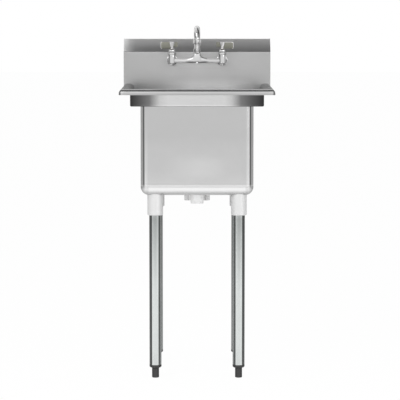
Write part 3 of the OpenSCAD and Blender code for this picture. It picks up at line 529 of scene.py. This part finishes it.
# Painted reflections and shade on the valve bodies: dark flanks, and darker over the top of the shell.
def valve_shade(tree):
    around = shades(tree, own_facing(tree, X), [
        (-1, 0.65), (-0.85, 0.45), (-0.7, 0.3), (-0.56, 0.34), (-0.42, 0.95), (0.5, 0.95), (0.68, 0.6),
        (0.85, 0.42), (1, 0.65)])
    height = shades(tree, place_of(tree, Z), [(1.11, 1.0), (1.1135, 0.72), (1.119, 0.72)])
    return times(tree, around, height)


# Painted shade: the bonnets darker where they face up.
def bonnet_shade(tree):
    return shades(tree, facing(tree, Z), [(-1, 1.0), (0.2, 1.0), (0.6, 0.66), (1, 0.66)])


def drain_shade(tree):
    """Painted shade on the drain nut: lugs a little darker than the nut between them, with a painted dark
    line at their roots.
    """
    return shades(tree, place_of(tree, X), [
        (-0.0455, 0.8), (-0.036, 0.7), (-0.0325, 0.66), (-0.0305, 0.5), (-0.0275, 0.95), (-0.01, 1.0),
        (0.02, 1.0), (0.0245, 0.86), (0.0275, 0.6), (0.0305, 0.45), (0.034, 0.7), (0.0455, 0.76)])


def rim_shade(tree):
    """Painted reflections on the front rim: dark ends, and light and dark level stripes where it rolls
    over.
    """
    across = shades(tree, place_of(tree, X), [
        (-0.267, 0.3), (-0.262, 0.3), (-0.259, 1.2), (-0.25, 1.05), (-0.24, 1.0), (0.24, 1.0), (0.25, 1.05),
        (0.258, 1.1), (0.262, 0.3), (0.267, 0.3)])
    height = shades(tree, place_of(tree, Z), [
        (0.994, 1.13), (1.0045, 1.09), (1.0055, 0.8), (1.0078, 0.8), (1.009, 1.55), (1.0112, 1.55),
        (1.0123, 0.82), (1.0137, 0.85), (1.014, 1.0)])
    return times(tree, across, height)


# Painted reflection on the side rims: darker towards the back, with a bright band at the backsplash end.
def side_rim_shade(tree):
    return shades(tree, place_of(tree, Y), [
        (-0.26, 1.0), (-0.1, 0.9), (0.2, 0.8), (0.208, 0.9), (0.214, 1.3)])


def adjust(name, socket, value):
    MATERIALS[name].node_tree.nodes["Principled BSDF"].inputs[socket].default_value = value


def make_materials():
    steel("satin_steel", 0.54, 0.28, X)
    # The finishes below that take a tone function carry painted reflections and shade.
    steel("face_steel", 0.8, 0.32, X, face_shade)
    steel("slant_steel", 0.98, 0.34, X, slant_shade)
    steel("bowl_steel", 0.64, 0.2, X, bowl_shade)
    steel("rim_steel", 0.5, 0.2, X, rim_shade)
    steel("side_rim_steel", 0.5, 0.2, Y, side_rim_shade)
    steel("polished_steel", 0.9, 0.22, X, apron_shade)
    steel("side_apron_steel", 0.62, 0.24, Y)
    surface("bright_steel", grey(0.68), 0.4, CAST_GRAIN, 0.45)
    surface("galvanised_steel", (0.72, 0.75, 0.74), 0.2, ZINC_GRAIN, shade=leg_shade)
    # Lit and shaded copies of chrome: their tones and tone functions paint reflections, highlights and
    # shade.
    chrome("chrome", 0.76, 0.08, 0.85)
    chrome("chrome_bonnet", 0.72, 0.1, 0.85, bonnet_shade)
    # A darker copy of chrome: painted shade inside the wall flanges.
    chrome("chrome_painted_shade", 0.38, 0.12, 0.7)
    chrome("chrome_tube", 0.84, 0.08, 0.7, tube_shade)
    # A brighter copy of chrome: a painted highlight on the bead under the neck and on the blades' ends and
    # tops.
    chrome("chrome_painted_highlight", 0.88, 0.12, 0.25)
    chrome("chrome_column", 0.8, 0.08, 0.8, column_shade)
    chrome("chrome_aerator", 0.76, 0.16, 0.45, aerator_shade)
    chrome("chrome_valve", 0.9, 0.12, 0.6, valve_shade)
    chrome("chrome_bead", 0.98, 0.16, 0.3, valve_end_shade)
    chrome("chrome_hub", 0.95, 0.12, 0.25, hub_shade)
    chrome("chrome_arm", 0.96, 0.25, 0.45, arm_shade)
    chrome("chrome_nut", 0.8, 0.1, 0.8, nut_shade)
    # The blades' faces: chrome painted dark with an olive tint, a painted dark reflection.
    surface("lever_face_painted_dark", (0.225, 0.225, 0.19), 0.3, BLADE_GRAIN, 0.4)
    surface("drain_steel", grey(1.0), 0.45, CAST_GRAIN, 0.8, shade=drain_shade)
    surface("brass", (0.62, 0.45, 0.2), 0.28, BRASS_GRAIN)
    matte("rubber", grey(0.03), 0.75)
    matte("fibre", (0.28, 0.18, 0.1), 0.85, 500)
    matte("black_plastic", grey(0.06), 0.42, 1400, foot_shade)
    adjust("black_plastic", "Specular IOR Level", PLASTIC_GLOSS)
    adjust("side_rim_steel", "Specular Tint", (GRAZING_TONE, GRAZING_TONE, GRAZING_TONE, 1))


# Mesh tools
WELD = 1e-6
LATHE_HOLE = 0.00005
CREASE_DEGREES = 32


def add_piece(name, mesh_data, materials, body, replaced):
    """Adds a mesh of (points, faces, material numbers) in the place of CAD nodes, riding on their body."""
    points, faces, which = mesh_data
    mesh = bpy.data.meshes.new(name)
    mesh.from_pydata([Vector(p) for p in points], [], faces)
    for material in materials:
        mesh.materials.append(MATERIALS[material])
    mesh.polygons.foreach_set("material_index", which)
    piece = bpy.data.objects.new(name, mesh)
    bpy.context.scene.collection.objects.link(piece)
    build = bmesh.new()
    build.from_mesh(mesh)
    bmesh.ops.remove_doubles(build, verts=build.verts, dist=WELD)
    bmesh.ops.recalc_face_normals(build, faces=build.faces)
    build.to_mesh(mesh)
    build.free()
    smooth(piece)
    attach(piece, body)
    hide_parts(*replaced)


def smooth(piece):
    """Smooth shading, with edges kept crisp past an angle."""
    piece.data.shade_smooth()
    piece.data.set_sharp_from_angle(angle=math.radians(CREASE_DEGREES))


def join(*parts):
    """One (points, faces, material numbers) out of several."""
    points, faces, which = [], [], []
    for part_points, part_faces, part_which in parts:
        start = len(points)
        points += part_points
        faces += [tuple(start + i for i in face) for face in part_faces]
        which += part_which
    return points, faces, which


def shifted(part, offset):
    return [Vector(p) + Vector(offset) for p in part[0]], part[1], part[2]


def turned(part, matrix):
    return [matrix @ Vector(p) for p in part[0]], part[1], part[2]


def centres(part):
    """The middle of each face."""
    points, faces, _ = part
    return [sum((points[i] for i in face), Vector()) / len(face) for face in faces]


def skin(rings, which=0):
    """Quads between successive rings of equal length, with the ends capped."""
    count = len(rings[0])
    points = [p for ring in rings for p in ring]
    faces = []
    for r in range(len(rings) - 1):
        for i in range(count):
            j = (i + 1) % count
            faces.append((r * count + i, r * count + j, (r + 1) * count + j, (r + 1) * count + i))
    faces.append(tuple(range(count))[::-1])
    faces.append(tuple((len(rings) - 1) * count + i for i in range(count)))
    return points, faces, [which] * len(faces)


def filleted(corners, step=9):
    """A flat path through (x, y, radius) corners, each rounded with an arc."""
    path = []
    for i, (x, y, radius) in enumerate(corners):
        here = Vector((x, y))
        if radius == 0 or i in (0, len(corners) - 1):
            path.append(here)
            continue
        back = (Vector(corners[i - 1][:2]) - here).normalized()
        on = (Vector(corners[i + 1][:2]) - here).normalized()
        half = back.angle(on) / 2
        middle = here + (back + on).normalized() * (radius / math.sin(half))
        start = here + back * (radius / math.tan(half)) - middle
        turn = math.pi - 2 * half
        sign = 1 if back.x * on.y - back.y * on.x < 0 else -1
        pieces = max(2, round(math.degrees(turn) / step))
        for k in range(pieces + 1):
            angle = sign * turn * k / pieces
            c, s = math.cos(angle), math.sin(angle)
            path.append(middle + Vector((start.x * c - start.y * s, start.x * s + start.y * c)))
    return path


def sheet_outline(corners, thickness, step=9):
    """The closed outline of a bent sheet whose middle follows a filleted path."""
    path = filleted(corners, step)
    left, right = [], []
    for i, point in enumerate(path):
        before = path[max(0, i - 1)]
        after = path[min(len(path) - 1, i + 1)]
        along = (after - before).normalized()
        side = Vector((-along.y, along.x)) * (thickness / 2)
        left.append(point + side)
        right.append(point - side)
    return left + right[::-1]


def lathe(profile, segments=48, which=0):
    """A solid of revolution about +Z from (radius, height) points, bottom to top."""
    rings = [[Vector((r * math.cos(a), r * math.sin(a), z)) for a in
              (2 * math.pi * i / segments for i in range(segments))] for r, z in profile]
    return skin(rings, which=which)


def rounded_profile(points, step=15):
    """A lathe profile whose (radius, height, rounding) corners, in millimetres, are filleted."""
    corners = [(r * MM, z * MM, f * MM) for r, z, f in points]
    return [(max(p.x, LATHE_HOLE), p.y) for p in filleted(corners, step)]


def tube_path(path, radius, segments):
    """A round bar along a path in space."""
    rings = []
    for i, point in enumerate(path):
        before, after = path[max(0, i - 1)], path[min(len(path) - 1, i + 1)]
        along = (after - before).normalized()
        side = Vector((1, 0, 0))
        up = along.cross(side).normalized()
        rings.append([point + side * (radius * math.cos(a)) + up * (radius * math.sin(a))
                      for a in (2 * math.pi * k / segments for k in range(segments))])
    return skin(rings)


# Deck: rim and apron strips, mitred at the front corners
SHEET = 1.2 * MM
RIM_INNER_R = 16 * MM
RIM_OUTER_R = 14 * MM
RIM_DROP = 20 * MM
RIM_HEM = 5 * MM
APRON_BEND_R = 5 * MM
SPLASH_FACE_TOP = 1.1285
FOLD_R = 2.5 * MM
SPLASH_REAR_DROP = 40 * MM
STRIP_CUTS = 12

APRON_LOW, APRON_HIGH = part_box("apron_front")
RIM_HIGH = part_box("rim_front")[1]
FACE_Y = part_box("rim_left")[1].y
RIM_TOP = RIM_HIGH.z
LEDGE_Z = APRON_LOW.z


def rim_outline():
    """x out from the wall's outer face, y up from the floor."""
    reach = RIM_HIGH.x - APRON_HIGH.x
    half = SHEET / 2
    foot = RIM_TOP - RIM_DROP + half
    return sheet_outline([
        (-half, RIM_TOP - RIM_INNER_R, 0), (-half, RIM_TOP - half, RIM_INNER_R - half),
        (reach - half, RIM_TOP - half, RIM_OUTER_R - half), (reach - half, foot, half * 1.4),
        (reach - RIM_HEM, foot, 0)], SHEET, step=6)


def apron_outline():
    half = SHEET / 2
    top = RIM_TOP - RIM_INNER_R
    return sheet_outline([(-APRON_BEND_R, LEDGE_Z + half, 0), (-half, LEDGE_Z + half, APRON_BEND_R - half),
                          (-half, top, 0)], SHEET)


def strip_stations(side):
    """Where a strip's section stands: its root point and the direction it faces, at each end."""
    x, y = APRON_HIGH.x, APRON_LOW.y
    corner_left = (Vector((-x, y, 0)), Vector((-1, -1, 0)))
    corner_right = (Vector((x, y, 0)), Vector((1, -1, 0)))
    if side == 0:
        return [corner_left, corner_right]
    corner = corner_left if side < 0 else corner_right
    return [corner, (Vector((side * x, FACE_Y, 0)), Vector((side, 0, 0)))]


def strip(name, outline, side, material):
    first, last = strip_stations(side)
    rings = []
    for k in range(STRIP_CUTS + 1):
        t = k / STRIP_CUTS
        rings.append([(first[0] + first[1] * p.x).lerp(last[0] + last[1] * p.x, t) + Vector((0, 0, p.y))
                      for p in outline])
    add_piece(name + "_sheet", skin(rings), [material], "stand", [name])


def make_deck():
    for side, word in ((0, "front"), (-1, "left"), (1, "right")):
        strip(f"rim_{word}", rim_outline(), side, "side_rim_steel" if side else "rim_steel")
        strip(f"apron_{word}", apron_outline(), side, "side_apron_steel" if side else "polished_steel")


# Backsplash: one folded sheet, narrower below the rim
def make_backsplash():
    low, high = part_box("backsplash")
    half = SHEET / 2
    foot = RIM_TOP - RIM_DROP
    upper = sheet_outline([
        (low.y + half, foot, 0), (low.y + half, SPLASH_FACE_TOP, FOLD_R),
        (high.y - half, high.z - half, FOLD_R), (high.y - half, high.z - SPLASH_REAR_DROP, 0)],
        SHEET, step=12)
    lower = sheet_outline([(low.y + half, low.z, 0), (low.y + half, foot, 0)], SHEET)
    parts = []
    for outline, x in ((upper, high.x), (lower, APRON_HIGH.x)):
        rings = [[Vector((px, p.x, p.y)) for p in outline] for px in (-x, x)]
        part = skin(rings)
        which = [1 if c.z > SPLASH_FACE_TOP and c.y > low.y + 2 * SHEET else 0 for c in centres(part)]
        parts.append((part[0], part[1], which))
    add_piece("backsplash_sheet", join(*parts), ["face_steel", "slant_steel"], "stand", ["backsplash"])


# Faucet
VALVE_X = (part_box("handle_screw_cold")[0].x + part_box("handle_screw_cold")[1].x) / 2
FAUCET_Y = (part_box("spout_nut")[0].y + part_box("spout_nut")[1].y) / 2
ARM_Z = (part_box("supply_shank_hot")[0].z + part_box("supply_shank_hot")[1].z) / 2
ARM_R = 8.0 * MM
ARM_DROP = 0.3 * MM
COLUMN_FROM = 20 * MM
VALVE_FROM = -10 * MM
INLET_R = 11.5 * MM
FLANGE_SHADE_R = 17.7 * MM
HEX_ACROSS = 30 * MM
HEX_HEIGHT = 9 * MM
HEX_CHAMFER = 1.2 * MM
BLADE_THICKNESS = 5 * MM
BLADE_CORNER_R = 4.5 * MM
BLADE_EDGE_R = 1.1 * MM
BLADE_FROM_TOP = 0.8 * MM
LONG_REACH, LONG_HEIGHT = 40.3 * MM, 24.5 * MM
SHORT_REACH, SHORT_HEIGHT = 21.6 * MM, 19 * MM
TUBE_R = 10.8 * MM
TUBE_BEND_R = 30 * MM
TUBE_SEGMENTS = 40
TUBE_GAP = 0.3 * MM
TUBE_IN_AERATOR = 14 * MM
NOZZLE_LENGTH = 10 * MM
SPIGOT_R = 8.8 * MM
SHOULDER_R = 9.2 * MM
SHOULDER_LENGTH = 4 * MM
CASTING = ["chrome", "chrome_painted_highlight", "chrome_column", "chrome_arm", "chrome_valve", "chrome_bead"]
CASTING_HIGHLIGHT, CASTING_COLUMN, CASTING_ARM, CASTING_VALVE, CASTING_BEAD = range(1, 6)
LEVER = ["chrome", "lever_face_painted_dark", "chrome_painted_highlight", "chrome_hub"]
LEVER_PAINTED_DARK, LEVER_HIGHLIGHT, LEVER_HUB = range(1, 4)


def banded(part, limit, above, below):
    """A part with one material number above a height and another below it."""
    return part[0], part[1], [above if c.z > limit else below for c in centres(part)]


def valve_shell():
    shell = lathe(rounded_profile([
        (0, -17.6, 0), (8.4, -17.6, 2), (9.2, -12.6, 2), (12.4, -9, 3), (12.6, 14, 0), (12.6, 19.8, 0.8),
        (11.6, 21, 0), (0, 21, 0)]))
    return banded(shell, VALVE_FROM, CASTING_VALVE, CASTING_BEAD)


def neck_shell():
    shell = lathe(rounded_profile([
        (0, -6, 0), (7, -5, 3), (8.6, 0, 3), (8.6, 16, 6), (9.8, 23, 8), (12, 29, 2), (12, 32.6, 0.5),
        (11.3, 32.6, 0), (11.3, 38, 0), (0, 38, 0)]))
    return banded(shell, COLUMN_FROM, CASTING_COLUMN, CASTING_ARM)


def boss():
    """The small bead under the neck, in a painted highlight."""
    bead = lathe(rounded_profile([
        (0, -12.8, 0), (3.2, -12.6, 1.6), (4.6, -10, 1.5), (4.6, -6, 2.5), (0, -3.4, 0)]), 24, CASTING_HIGHLIGHT)
    return shifted(bead, (0, -5.6 * MM, 0))


def arms():
    """The cross arms as one bar, which sweeps up into the neck as it reaches the middle.
    The sweep rises gently, then steeply, and its section deepens and squares off."""
    sweep_from, sweep_to, sweep_rise = 37 * MM, 9 * MM, 21.5 * MM
    gentle, steep, steepness = 0.38, 0.62, 8
    deepening, squaring = 0.25, 0.6
    steps, segments = 24, 36
    half = [VALVE_X, 60 * MM, 45 * MM]
    half += [sweep_from - (sweep_from - sweep_to) * k / steps for k in range(steps + 1)]
    rings = []
    for x in [-x for x in half] + half[::-1]:
        t = min(1.0, max(0.0, (sweep_from - abs(x)) / (sweep_from - sweep_to)))
        rise = sweep_rise * (gentle * t + steep * t ** steepness)
        depth = ARM_R * (1 + deepening * t * t)
        ring = []
        for i in range(segments):
            a = 2 * math.pi * (i + 0.5) / segments
            c = math.cos(a)
            flat = math.copysign(abs(c) ** (1 - squaring * t), c)
            height = ARM_R * math.sin(a) - ARM_DROP
            ring.append(Vector((x, depth * flat, height + (rise if a < math.pi else 0))))
        rings.append(ring)
    return skin(rings, which=CASTING_ARM)


def inlet():
    """The boss from a valve back to its wall flange."""
    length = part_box("wall_flanges")[0].y - FAUCET_Y
    bar = lathe([(INLET_R, 0), (INLET_R, length)])
    return turned(bar, Matrix.Rotation(math.radians(-90), 4, "X"))


def make_faucet_body():
    parts = [neck_shell(), boss(), arms()]
    for side in (-1, 1):
        parts.append(shifted(valve_shell(), (side * VALVE_X, 0, 0)))
        parts.append(shifted(inlet(), (side * VALVE_X, 0, 0)))
    body = shifted(join(*parts), (0, FAUCET_Y, ARM_Z))
    add_piece("faucet_casting", body, CASTING, "stand", ["faucet_body"])


def hexagon(across, low, high, chamfer):
    """A chamfered hexagonal nut blank; the sides next to its front one have a material of their own, the
    one with painted dark reflections.
    """
    def ring(radius, z):
        return [Vector((radius * math.cos(a), radius * math.sin(a), z)) for a in
                (math.pi / 3 * i for i in range(6))]

    points, faces, which = skin([ring(across / 2 - chamfer, low), ring(across / 2, low + chamfer),
                                 ring(across / 2, high - chamfer), ring(across / 2 - chamfer, high)])
    beside_front = (3, 5, 9, 11, 15, 17)
    return points, faces, [1 if i in beside_front else 0 for i in range(len(faces))]


def make_bonnet(word, side):
    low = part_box(f"bonnet_nut_{word}")[0]
    hex_top = low.z + HEX_HEIGHT
    top = lathe(rounded_profile([
        (0, 0, 0), (9.6, 0, 0), (9.6, 1.6, 0.4), (11.1, 2.6, 0.4), (11.1, 8, 1), (8.2, 11.7, 1),
        (4.3, 12, 0), (0, 12, 0)]))
    nut = join(hexagon(HEX_ACROSS, low.z, hex_top, HEX_CHAMFER), shifted(top, (0, 0, hex_top)))
    nut = shifted(nut, (side * VALVE_X, FAUCET_Y, 0))
    add_piece(f"bonnet_{word}", nut, ["chrome_bonnet", "chrome_nut"], "stand", [f"bonnet_nut_{word}"])


def blade(reach, low, high, bright_end, bright_top):
    """An upright blade with rounded corners and rolled edges, with a painted highlight at its end or along
    its top.
    """
    corners = filleted([
        (0, low, 0), (reach, low, BLADE_CORNER_R), (reach, high, BLADE_CORNER_R), (0, high, 0)], 15)
    edge = BLADE_EDGE_R
    middle = Vector((reach / 2, (low + high) / 2))

    def ring(shrink, y):
        points = []
        for p in corners:
            away = p - middle
            sx = (abs(away.x) - shrink) / abs(away.x)
            sy = (abs(away.y) - shrink) / abs(away.y)
            points.append(Vector((middle.x + away.x * (sx if p.x > 0 else 1), y, middle.y + away.y * sy)))
        return points

    half = BLADE_THICKNESS / 2
    roll = 0.3 * edge
    part = skin([ring(edge, -half), ring(roll, -half + roll), ring(0, -half + edge), ring(0, half - edge),
                 ring(roll, half - roll), ring(edge, half)])
    which = []
    for centre in centres(part)[:-2]:
        at_end = bright_end and centre.x > reach - BLADE_CORNER_R
        on_top = bright_top and centre.z > high - edge
        which.append(LEVER_HIGHLIGHT if at_end or on_top else LEVER_PAINTED_DARK)
    return part[0], part[1], which + [LEVER_PAINTED_DARK, LEVER_PAINTED_DARK]


def make_handle(word, side):
    low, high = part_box(f"handle_{word}")
    hub = lathe(rounded_profile([
        (0, 0, 0), (6.5, 0, 0.5), (5.6, 3, 1), (5.6, 8, 2), (7.6, 14, 4), (10.4, 21, 2), (10.8, 23.4, 1),
        (9.2, 25.7, 0.6), (4.6, 25.7, 0.3), (4.6, 23.6, 0), (0, 23.6, 0)]), which=LEVER_HUB)
    top = high.z - BLADE_FROM_TOP
    half_turn = Matrix.Rotation(math.pi, 4, "Z")
    long_blade = blade(LONG_REACH, top - LONG_HEIGHT, top, True, side > 0)
    short_blade = turned(blade(SHORT_REACH, top - SHORT_HEIGHT, top, False, False), half_turn)
    parts = join(shifted(hub, (0, 0, low.z)), long_blade, short_blade)
    if side < 0:
        parts = turned(parts, half_turn)
    parts = shifted(parts, (side * VALVE_X, FAUCET_Y, 0))
    add_piece(f"lever_{word}", parts, LEVER, f"{word}_lever", [f"handle_{word}"])


def make_spout():
    low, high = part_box("spout")
    top = high.z - TUBE_R
    out_y = (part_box("aerator")[0].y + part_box("aerator")[1].y) / 2
    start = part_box("spout_nut")[1].z + TUBE_GAP
    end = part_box("aerator")[1].z - TUBE_IN_AERATOR
    bend = TUBE_BEND_R
    flat = filleted([(FAUCET_Y, start, 0), (FAUCET_Y, top, bend), (out_y, top, bend), (out_y, end, 0)], 6)
    tube = tube_path([Vector((0, p.x, p.y)) for p in flat], TUBE_R, TUBE_SEGMENTS)
    which = [1 if c.y < out_y + bend and c.z > end + NOZZLE_LENGTH else 0 for c in centres(tube)]
    tube = tube[0], tube[1], which
    shoulder = start - SHOULDER_LENGTH
    spigot = lathe([(SPIGOT_R, low.z), (SPIGOT_R, shoulder), (SHOULDER_R, shoulder), (SHOULDER_R, start)])
    whole = join(tube, shifted(spigot, (0, FAUCET_Y, 0)))
    add_piece("swing_tube", whole, ["chrome_column", "chrome_tube"], "spout_arm", ["spout"])


def make_wall_flanges():
    parts = []
    for side in (-1, 1):
        disc = lathe(rounded_profile([
            (11.6, 0, 0), (19.6, 0, 0.4), (19.6, 2.4, 1), (18.6, 4, 0.8), (17.6, 3.2, 0.4),
            (13.5, 2.4, 0.4), (12.6, 4, 0.4), (11.6, 4, 0)]))
        points, faces, _ = disc
        radii = [sum(math.hypot(points[i].x, points[i].y) for i in face) / len(face) for face in faces]
        # The inner ring takes the darker copy of chrome, a painted shade.
        disc = points, faces, [1 if radius < FLANGE_SHADE_R else 0 for radius in radii]
        disc = turned(disc, Matrix.Rotation(math.radians(90), 4, "X"))
        parts.append(shifted(disc, (side * VALVE_X, FACE_Y, ARM_Z)))
    add_piece("wall_flange_pair", join(*parts), ["chrome", "chrome_painted_shade"], "stand", ["wall_flanges"])


def make_nut_and_aerator():
    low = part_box("spout_nut")[0]
    nut = lathe(rounded_profile([
        (11.4, 0, 0), (13.2, 0, 0.4), (14.4, 1.4, 0.6), (14.4, 4, 0.4), (13.2, 5, 0.4), (14.4, 6, 0.4),
        (14.4, 8.4, 1), (11.8, 10.4, 0.6), (10.8, 10.4, 0)]))
    nut = shifted(nut, (0, FAUCET_Y, low.z))
    add_piece("swivel_nut", nut, ["chrome_nut"], "stand", ["spout_nut"])
    low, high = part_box("aerator")
    out_y = (low.y + high.y) / 2
    shell = lathe(rounded_profile([
        (8.9, 3.6, 0), (8.9, 0, 0.4), (12.6, 0, 1), (13.9, 2.4, 0.5), (14.4, 3.6, 0.6), (14.4, 16, 0.4),
        (14.1, 16.6, 0.3), (14.4, 17.2, 0.3), (14.2, 18.2, 0.6), (12.2, 19.3, 0.4), (10.9, 19.3, 0)]))
    shell = shifted(shell, (0, out_y, low.z))
    add_piece("aerator_shell", shell, ["chrome_aerator"], "spout_arm", ["aerator"])


def dress_nodes():
    """Gives every node carried over from the CAD its material."""
    special = {"bowl": "bowl_steel", "drain_locknut": "drain_steel", "drain_body": "drain_steel"}
    slots = {part["node"]: part["material_slot"] for part in frame["record"]["subparts"]}
    for name, node in nodes.items():
        node.data.materials.clear()
        node.data.materials.append(MATERIALS[special.get(name, slots[name])])


make_camera()
make_studio()
make_materials()
dress_nodes()
make_deck()
make_backsplash()
make_faucet_body()
for word, side in (("hot", -1), ("cold", 1)):
    make_bonnet(word, side)
    make_handle(word, side)
make_spout()
make_nut_and_aerator()
make_wall_flanges()
